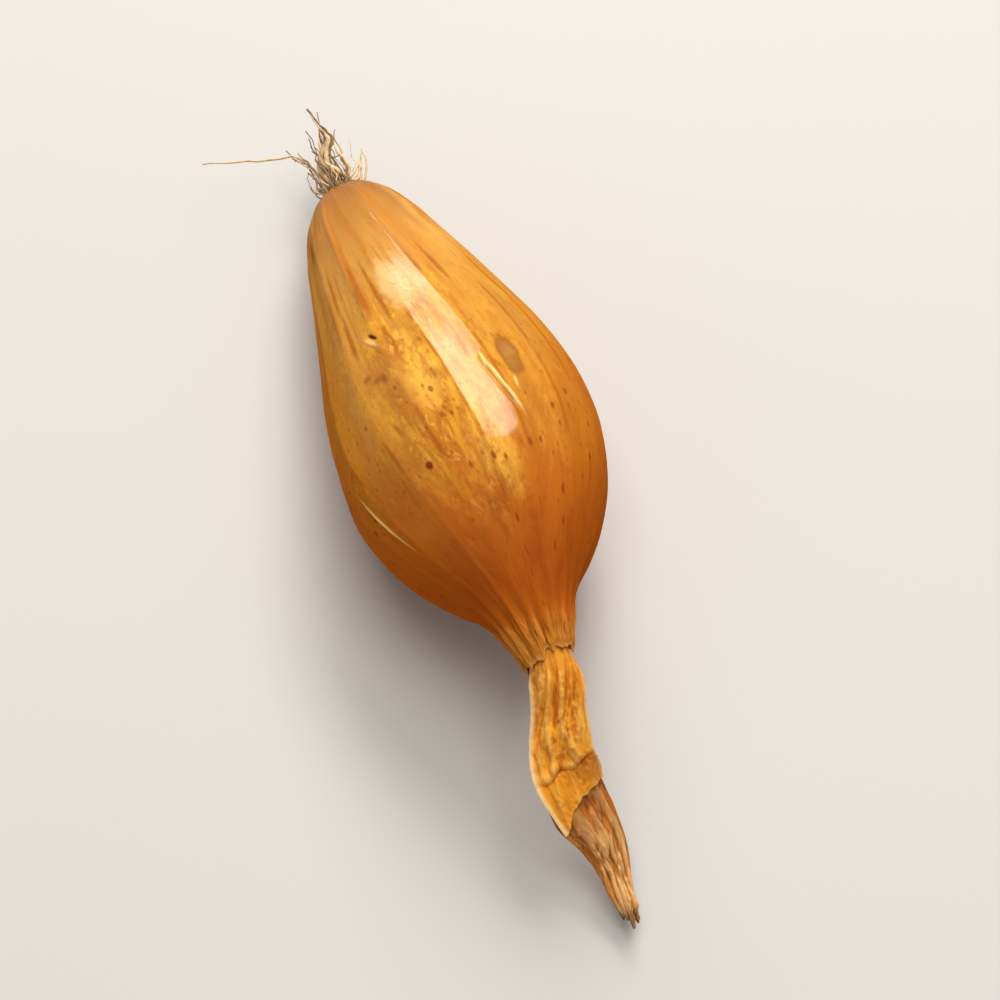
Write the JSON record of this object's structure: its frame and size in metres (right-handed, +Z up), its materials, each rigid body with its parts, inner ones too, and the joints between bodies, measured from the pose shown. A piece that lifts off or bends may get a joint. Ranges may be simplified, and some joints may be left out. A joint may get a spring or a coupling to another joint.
{
  "type": "onion set",
  "caption": "Small elongated bulb for planting, lying on its side, with a dry papery tunic, a withered leaf tail at its neck and a tuft of dry roots at its base.",
  "frame": {"origin": "middle of the small flat spot that the bulb lies on, under its weight", "axes": "+Z up, +Y from the flat spot towards the root end, so the neck and the leaves point along -Y, and +X across the bulb"},
  "size_m": [0.0187, 0.0659, 0.0191],
  "materials": {
    "tunic": "thin dry papery skin, golden amber turning red-brown at the neck, satin with a soft gloss on its flats, fine lengthwise veins",
    "outer_leaf": "withered amber straw, papery, creased across, pale rolled edge",
    "inner_leaf": "shrivelled grey-brown leaf, pleated lengthwise, frayed dark tip",
    "roots": "dry straw-grey root fibres on a dark corky plate, matt"
  },
  "bodies": {
    "root": {"bulb": "tunic", "outer_leaf": "outer_leaf", "inner_leaf": "inner_leaf", "root_tuft": "roots"}
  },
  "joints": []
}
